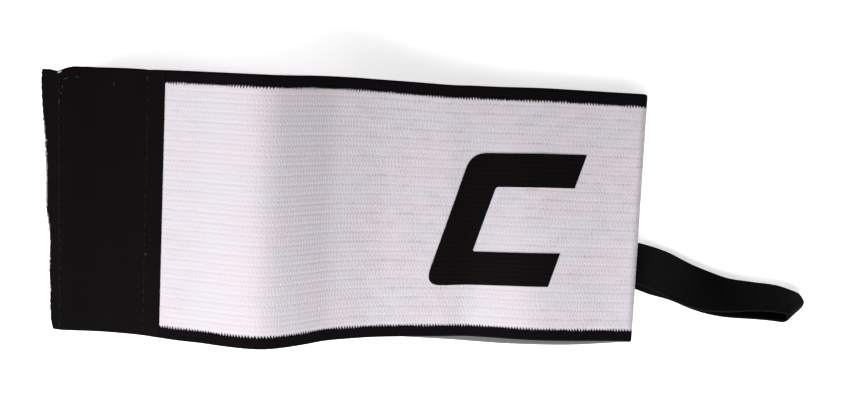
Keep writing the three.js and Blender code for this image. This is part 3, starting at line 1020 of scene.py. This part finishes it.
class StageSettings(bpy.types.PropertyGroup):
    """Floor and light."""

    floor: bpy.props.FloatVectorProperty(
        name="Floor", description="Colour of the surface", subtype="COLOR", default=(0.93, 0.93, 0.93)
    )
    glow: bpy.props.FloatProperty(
        name="Floor glow", description="Strength of the light from the surface itself", default=0.7
    )
    ambient: bpy.props.FloatProperty(
        name="Ambient light", description="Strength of the even light from all round", default=0.01
    )
    left: bpy.props.FloatProperty(
        name="Left light", description="Power of the low light from the left", default=4.2, subtype="POWER"
    )
    front: bpy.props.FloatProperty(
        name="Front light", description="Power of the low light from the front", default=1.87, subtype="POWER"
    )
    front_right: bpy.props.FloatProperty(
        name="Front right light",
        description="Power of the low light at the front right",
        default=0.76,
        subtype="POWER",
    )
    top_left: bpy.props.FloatProperty(
        name="Top left light", description="Power of the high light at the left", default=1.33, subtype="POWER"
    )
    top_front: bpy.props.FloatProperty(
        name="Top front light",
        description="Power of the high light at the front",
        default=1.1,
        subtype="POWER",
    )
    focal_length: bpy.props.FloatProperty(
        name="Focal length", description="Focal length of the camera, in millimetres", default=52.64
    )


class ARMBAND_OT_webbing(bpy.types.Operator):
    """Make the ribbed elastic loop and its two black borders"""

    bl_idname = "armband.webbing"
    bl_label = "Webbing"

    def execute(self, context):
        settings = context.scene.armband
        finish = webbing_finish(settings)
        stations = loop_stations()
        strips = (
            ("elastic_webbing", field_rows(), "elastic_white", "elastic_field"),
            ("upper_border", border_rows(), "border_black", "top_border"),
            ("lower_border", -border_rows()[::-1], "border_black", "bottom_border"),
        )
        for name, rows, slot, node in strips:
            length, across = band_grid(rows, stations)
            rise = face_rise(across, settings.rib_height)
            add_sheet(name, length, across, -rise, rise, finish, slot, (node,))
        return {"FINISHED"}


class ARMBAND_OT_end_panel(bpy.types.Operator):
    """Print the black end panel on the outer end, and sew its two seams"""

    bl_idname = "armband.end_panel"
    bl_label = "End panel"

    def execute(self, context):
        settings = context.scene.armband
        rows = np.concatenate([-border_rows()[::-1], field_rows()[1:-1], border_rows()])
        stations = loop_stations(0, PANEL_LENGTH)
        length, across = band_grid(rows, stations)
        bare = 0.16 + 0.14 * np.sin(across * 2.3) * np.sin(across * 5.1 + 2)
        length += bare * (1 - smoothstep(length, 0, 4))
        rise = face_rise(across, settings.rib_height)
        inner, outer = rise + PRINT_GAP, rise + PRINT_GAP + PRINT_RISE
        ink = print_finish(settings)
        add_sheet("printed_panel", length, across, inner, outer, ink, "panel_print", ("end_panel",))

        face = print_face(settings)
        ends_at = (-HALF_WIDTH + 1, HALF_WIDTH - 1.2)
        rows = [seam(*((at, end) for end in ends_at), PANEL_STITCH, 0.06) for at in PANEL_SEAMS]
        starts, ends = (np.concatenate(part) for part in zip(*rows))

        def panel_face(length, across, lift):
            return cloth_point(length, across, face + lift)

        paths = stitch_paths(starts, ends, panel_face, 0.2, 0.06)
        thread = thread_finish("seam_thread", settings.thread, 0.55)
        add_threads("panel_seams", paths, PANEL_THREAD, thread, "panel_print")
        return {"FINISHED"}


class ARMBAND_OT_frayed_ends(bpy.types.Operator):
    """Let white yarn ends fray out of the cut end"""

    bl_idname = "armband.frayed_ends"
    bl_label = "Frayed ends"

    def execute(self, context):
        settings = context.scene.armband
        chance = np.random.default_rng(11)
        counts = FRAY_ROWS["ends"].astype(int)
        middle = np.repeat(FRAY_ROWS["across"], counts)
        reach = np.repeat(FRAY_ROWS["reach"], counts)
        total = len(middle)
        across = (middle + reach * chance.uniform(-1, 1, total)) * HALF_WIDTH
        share = np.linspace(0, 1, 9)
        inward = chance.uniform(0.12, 0.5, total)[:, None]
        slant = chance.uniform(-0.3, 0.3, total)[:, None]
        reach = chance.uniform(0.5, 1.3, total)[:, None]
        curl = chance.uniform(-0.2, 0.2, total)[:, None]
        aside = across[:, None] + reach * (share - 0.5)
        length = cut_inset(aside) + inward + slant * (share - 0.5) + curl * np.sin(share * math.pi * 1.5)
        face = print_face(settings)
        lift = face + 0.02 + 0.12 * np.sin(share * math.pi)
        paths = cloth_point(length, aside, lift + 0 * length)
        yarn = thread_finish("frayed_yarn", settings.fray, 0.8)
        add_threads("frayed_ends", paths, FRAYED_YARN, yarn, "elastic_white")

        turn = np.linspace(0, 2 * math.pi * 1.6, 26)
        size = np.array([0.34, 0.26, 0.18])[:, None]
        first, second = np.array([[0.0], [2.0], [4.2]]), np.array([[0.5], [1.9], [3.4]])
        length = TANGLE_LENGTH + size * np.cos(turn + first) + 0.03 * turn
        across = HALF_WIDTH - TANGLE_INSET + size * 0.7 * np.sin(turn * 1.1 + second)
        paths = cloth_point(length, across, face + 0.1 + 0.08 * np.cos(turn * 1.7))
        add_threads("thread_tangle", paths, TANGLED_YARN, yarn, "elastic_white")
        return {"FINISHED"}


class ARMBAND_OT_lint(bpy.types.Operator):
    """Lay a few fibres of lint on the end panel"""

    bl_idname = "armband.lint"
    bl_label = "Lint"

    def execute(self, context):
        settings = context.scene.armband
        share = np.linspace(-0.5, 0.5, 9)
        turn = np.radians(LINT_ROWS["turn"])[:, None]
        reach = LINT_ROWS["reach"][:, None] * share
        bend = 0.15 * np.cos(share * math.pi)
        length = LINT_ROWS["length"][:, None] + reach * np.cos(turn) - bend * np.sin(turn)
        across = LINT_ROWS["across"][:, None] + reach * np.sin(turn) + bend * np.cos(turn)
        paths = cloth_point(length, across, print_face(settings) + 0.05)
        fibre = thread_finish("lint", settings.lint, 0.8)
        add_threads("lint", paths, LINT_FIBRE, fibre, "elastic_white")
        return {"FINISHED"}


class ARMBAND_OT_letter(bpy.types.Operator):
    """Print the slanted block letter on the front"""

    bl_idname = "armband.letter"
    bl_label = "Letter"

    def execute(self, context):
        settings = context.scene.armband
        outer, inner = letter_outlines()
        share = np.linspace(0, 1, 15)[None, :, None]
        drawn = outer[:, None] * (1 - share) + inner[:, None] * share
        x = drawn[..., 0] + drawn[..., 1] * math.tan(LETTER_SLANT)
        y = drawn[..., 1]
        cosine, sine = math.cos(LETTER_TURN), math.sin(LETTER_TURN)
        length = FRONT_LENGTH - LETTER_FROM_FOLD + x * cosine - y * sine
        across = x * sine + y * cosine - LETTER_DROP
        low = CORE_HALF + settings.rib_height + PRINT_GAP
        high = low + PRINT_RISE
        film = letter_finish(settings)
        node = ("captain_letter",)
        add_sheet("printed_letter", length, across, low, high, film, "letter_print", node, 40)
        return {"FINISHED"}


class ARMBAND_OT_tapes(bpy.types.Operator):
    """Make the hook tape and the loop tape between the two ends"""

    bl_idname = "armband.tapes"
    bl_label = "Fastening tapes"

    def execute(self, context):
        settings = context.scene.armband
        chance = np.random.default_rng(5)
        low = -HALF_WEBBING - CLEARANCE
        stations = np.arange(FREE_END, FREE_END + HOOK_TAPE_LENGTH + 0.01, 0.6)
        rows = np.linspace(-HALF_WIDTH, HALF_WIDTH, 126) + HOOK_TAPE_OVERHANG
        length, across = np.meshgrid(stations, rows, indexing="ij")
        short = hook_shortfall(length) * smoothstep(across, 30, HALF_WIDTH)
        across = across - cut_notch(length, across) - short
        knots = np.abs(np.sin(length * math.pi / 1.8) * np.sin(across * math.pi / 1.5))
        finish = tape_finish(settings, "hook_tape", 0.9, 0.00025)
        inner = low - HOOK_TAPE_THICKNESS * (0.72 + 0.26 * knots)
        outer, node = low + 0 * length, "hook_tape"
        hook = add_sheet("hook_strip", length, across, inner, outer, finish, node, (node,))

        reach = HALF_WIDTH - LOOP_TAPE_INSET
        stations = np.linspace(WHOLE_LENGTH - LOOP_TAPE_LENGTH, WHOLE_LENGTH, 120)
        rows = np.linspace(-reach, reach, 180)
        length, across = np.meshgrid(stations, rows, indexing="ij")
        nap = chance.uniform(0, 1, length.shape)
        nap = (nap + np.roll(nap, 1, 0) + np.roll(nap, 1, 1) + np.roll(nap, (1, 1), (0, 1))) / 4
        nap *= smoothstep(reach - np.abs(across), 0.2, 1.4)
        low = HALF_WEBBING + CLEARANCE
        outer = low + LOOP_TAPE_THICKNESS * (0.55 + 0.45 * nap)
        finish = tape_finish(settings, "loop_tape", 0.5, 0.0003)
        inner, node = low + 0 * length, "loop_tape"
        loop = add_sheet("loop_strip", length, across, inner, outer, finish, node, (node,), 90)
        return {"FINISHED"}


class ARMBAND_OT_strap(bpy.types.Operator):
    """Make the doubled narrow strap and the seam that holds its root"""

    bl_idname = "armband.strap"
    bl_label = "Strap"

    def execute(self, context):
        settings = context.scene.armband
        columns = 2 * STRAP_STEPS + STRAP_FOLD_STEPS
        half = STRAP_WIDTH / 2
        edge = half - np.array([0, 0.04, 0.12, 0.25, STRAP_EDGE_ROUND])
        rows = np.concatenate([-edge, np.linspace(-half + 0.7, half - 0.7, 36), edge[::-1]])
        step, across = np.meshgrid(np.arange(columns + 1.0), rows, indexing="ij")
        near = np.clip((np.abs(across) - half + STRAP_EDGE_ROUND) / STRAP_EDGE_ROUND, 0, 1)
        ribs = 0.035 * np.cos(across * 2 * math.pi / STRAP_RIB_PITCH)
        rise = (STRAP_THICKNESS / 2 - 0.04 + ribs) * np.sqrt(1 - 0.9 * near**2)
        points = np.stack([strap_point(step, across, rise), strap_point(step, across, -rise)])
        one_way = strap_middle(np.zeros(1))[3]
        length = step / columns * 2 * one_way
        cloth = cloth_sides(length, across)
        finish = strap_finish(settings)
        faces = grid_faces(*step.shape)
        strap = add_piece("doubled_strap", points, faces, finish, "strap_black", ("strap",), cloth)
        2 * one_way * MM

        (near, far), aside = STRAP_BOX_REACH, STRAP_BOX_HALF
        box = ((near, -aside), (far, -aside), (far, aside), (near, aside))
        sides = [(0, 1), (1, 2), (2, 3), (3, 0), (0, 2), (1, 3)]
        rows = [seam(box[first], box[last], STRAP_STITCH, 0.08) for first, last in sides]
        starts, ends = (np.concatenate(part) for part in zip(*rows))
        faces = (root_face(0.1, -1), root_face(STRAP_LIFT + WEBBING_THICKNESS, 1))
        paths = [stitch_paths(starts, ends, face, 0.15, 0.08) for face in faces]
        thread = thread_finish("strap_thread", settings.thread, 0.55)
        add_threads("strap_seam", np.concatenate(paths), STRAP_THREAD, thread, "strap_black")
        return {"FINISHED"}


class ARMBAND_OT_stage(bpy.types.Operator):
    """Set the floor, the light and the camera"""

    bl_idname = "armband.stage"
    bl_label = "Stage"

    def execute(self, context):
        settings = context.scene.armband_stage
        scene = context.scene
        signs = ((-1, -1), (1, -1), (1, 1), (-1, 1))
        corners = [(x * FLOOR_HALF, y * FLOOR_HALF, -FLOOR_DROP) for x, y in signs]
        mesh = bpy.data.meshes.new("floor")
        mesh.from_pydata(corners, [], [(0, 1, 2, 3)])
        mesh.materials.append(floor_finish(settings.floor, settings.glow))
        floor = bpy.data.objects.new("floor", mesh)
        scene.collection.objects.link(floor)

        world = bpy.data.worlds.new("studio")
        world.use_nodes = True
        background = world.node_tree.nodes["Background"]
        background.inputs["Color"].default_value = (1.0, 1.0, 1.0, 1.0)
        background.inputs["Strength"].default_value = settings.ambient
        scene.world = world
        scene.view_settings.view_transform = "Standard"

        lights = (
            ("left_light", settings.left, 0.3, (-1.067, -0.667, 0.324)),
            ("front_light", settings.front, 0.25, (0.0, -0.45, 0.2)),
            ("front_right_light", settings.front_right, 0.25, (0.194, -0.368, 0.172)),
            ("top_left_light", settings.top_left, 0.25, (-0.35, -0.1, 0.42)),
            ("top_front_light", settings.top_front, 0.25, (-0.1, -0.3, 0.5)),
        )
        for name, power, size, place in lights:
            light = bpy.data.lights.new(name, "AREA")
            light.energy = power
            light.shape = "DISK"
            light.size = size
            lamp = bpy.data.objects.new(name, light)
            lamp.location = place
            lamp.rotation_euler = (-Vector(place)).to_track_quat("-Z", "Y").to_euler()
            scene.collection.objects.link(lamp)

        camera = bpy.data.objects.new("camera", bpy.data.cameras.new("camera"))
        camera.data.sensor_width = 36.0
        camera.data.lens = settings.focal_length
        camera.data.clip_start = 0.01
        level = Vector((1.0, 0.0, 0.0))
        upward = Vector((0.0, math.cos(CAMERA_PITCH), -math.sin(CAMERA_PITCH)))
        right = level * math.cos(CAMERA_ROLL) + upward * math.sin(CAMERA_ROLL)
        up = upward * math.cos(CAMERA_ROLL) - level * math.sin(CAMERA_ROLL)
        turned = Matrix((right, up, right.cross(up))).transposed()
        eye = Vector(CAMERA_EYE) * MM
        camera.matrix_world = Matrix.Translation(eye) @ turned.to_4x4()
        scene.collection.objects.link(camera)
        scene.camera = camera
        return {"FINISHED"}


class ARMBAND_PT_pieces(bpy.types.Panel):
    """The armband's pieces and settings"""

    bl_idname = "ARMBAND_PT_pieces"
    bl_label = "Armband"
    bl_space_type = "VIEW_3D"
    bl_region_type = "UI"
    bl_category = "Armband"

    def draw(self, context):
        """Lists the operators and, below them, the settings."""
        for operator in OPERATORS:
            self.layout.operator(operator.bl_idname)
        for settings in (context.scene.armband, context.scene.armband_stage):
            for name in settings.__annotations__:
                self.layout.prop(settings, name)


OPERATORS = (
    ARMBAND_OT_webbing,
    ARMBAND_OT_end_panel,
    ARMBAND_OT_frayed_ends,
    ARMBAND_OT_lint,
    ARMBAND_OT_letter,
    ARMBAND_OT_tapes,
    ARMBAND_OT_strap,
    ARMBAND_OT_stage,
)
CLASSES = (ArmbandSettings, StageSettings, *OPERATORS, ARMBAND_PT_pieces)


def register():
    """Adds the classes, and the settings of the armband and of its stage to every scene."""
    for each in CLASSES:
        bpy.utils.register_class(each)
    bpy.types.Scene.armband = bpy.props.PointerProperty(type=ArmbandSettings)
    bpy.types.Scene.armband_stage = bpy.props.PointerProperty(type=StageSettings)


def unregister():
    """Takes the settings and the classes out again."""
    del bpy.types.Scene.armband_stage
    del bpy.types.Scene.armband
    for each in reversed(CLASSES):
        bpy.utils.unregister_class(each)


def main():
    """Makes every piece in order."""
    register()
    for operator in OPERATORS:
        group, name = operator.bl_idname.split(".")
        getattr(getattr(bpy.ops, group), name)()


if __name__ == "__main__":
    main()
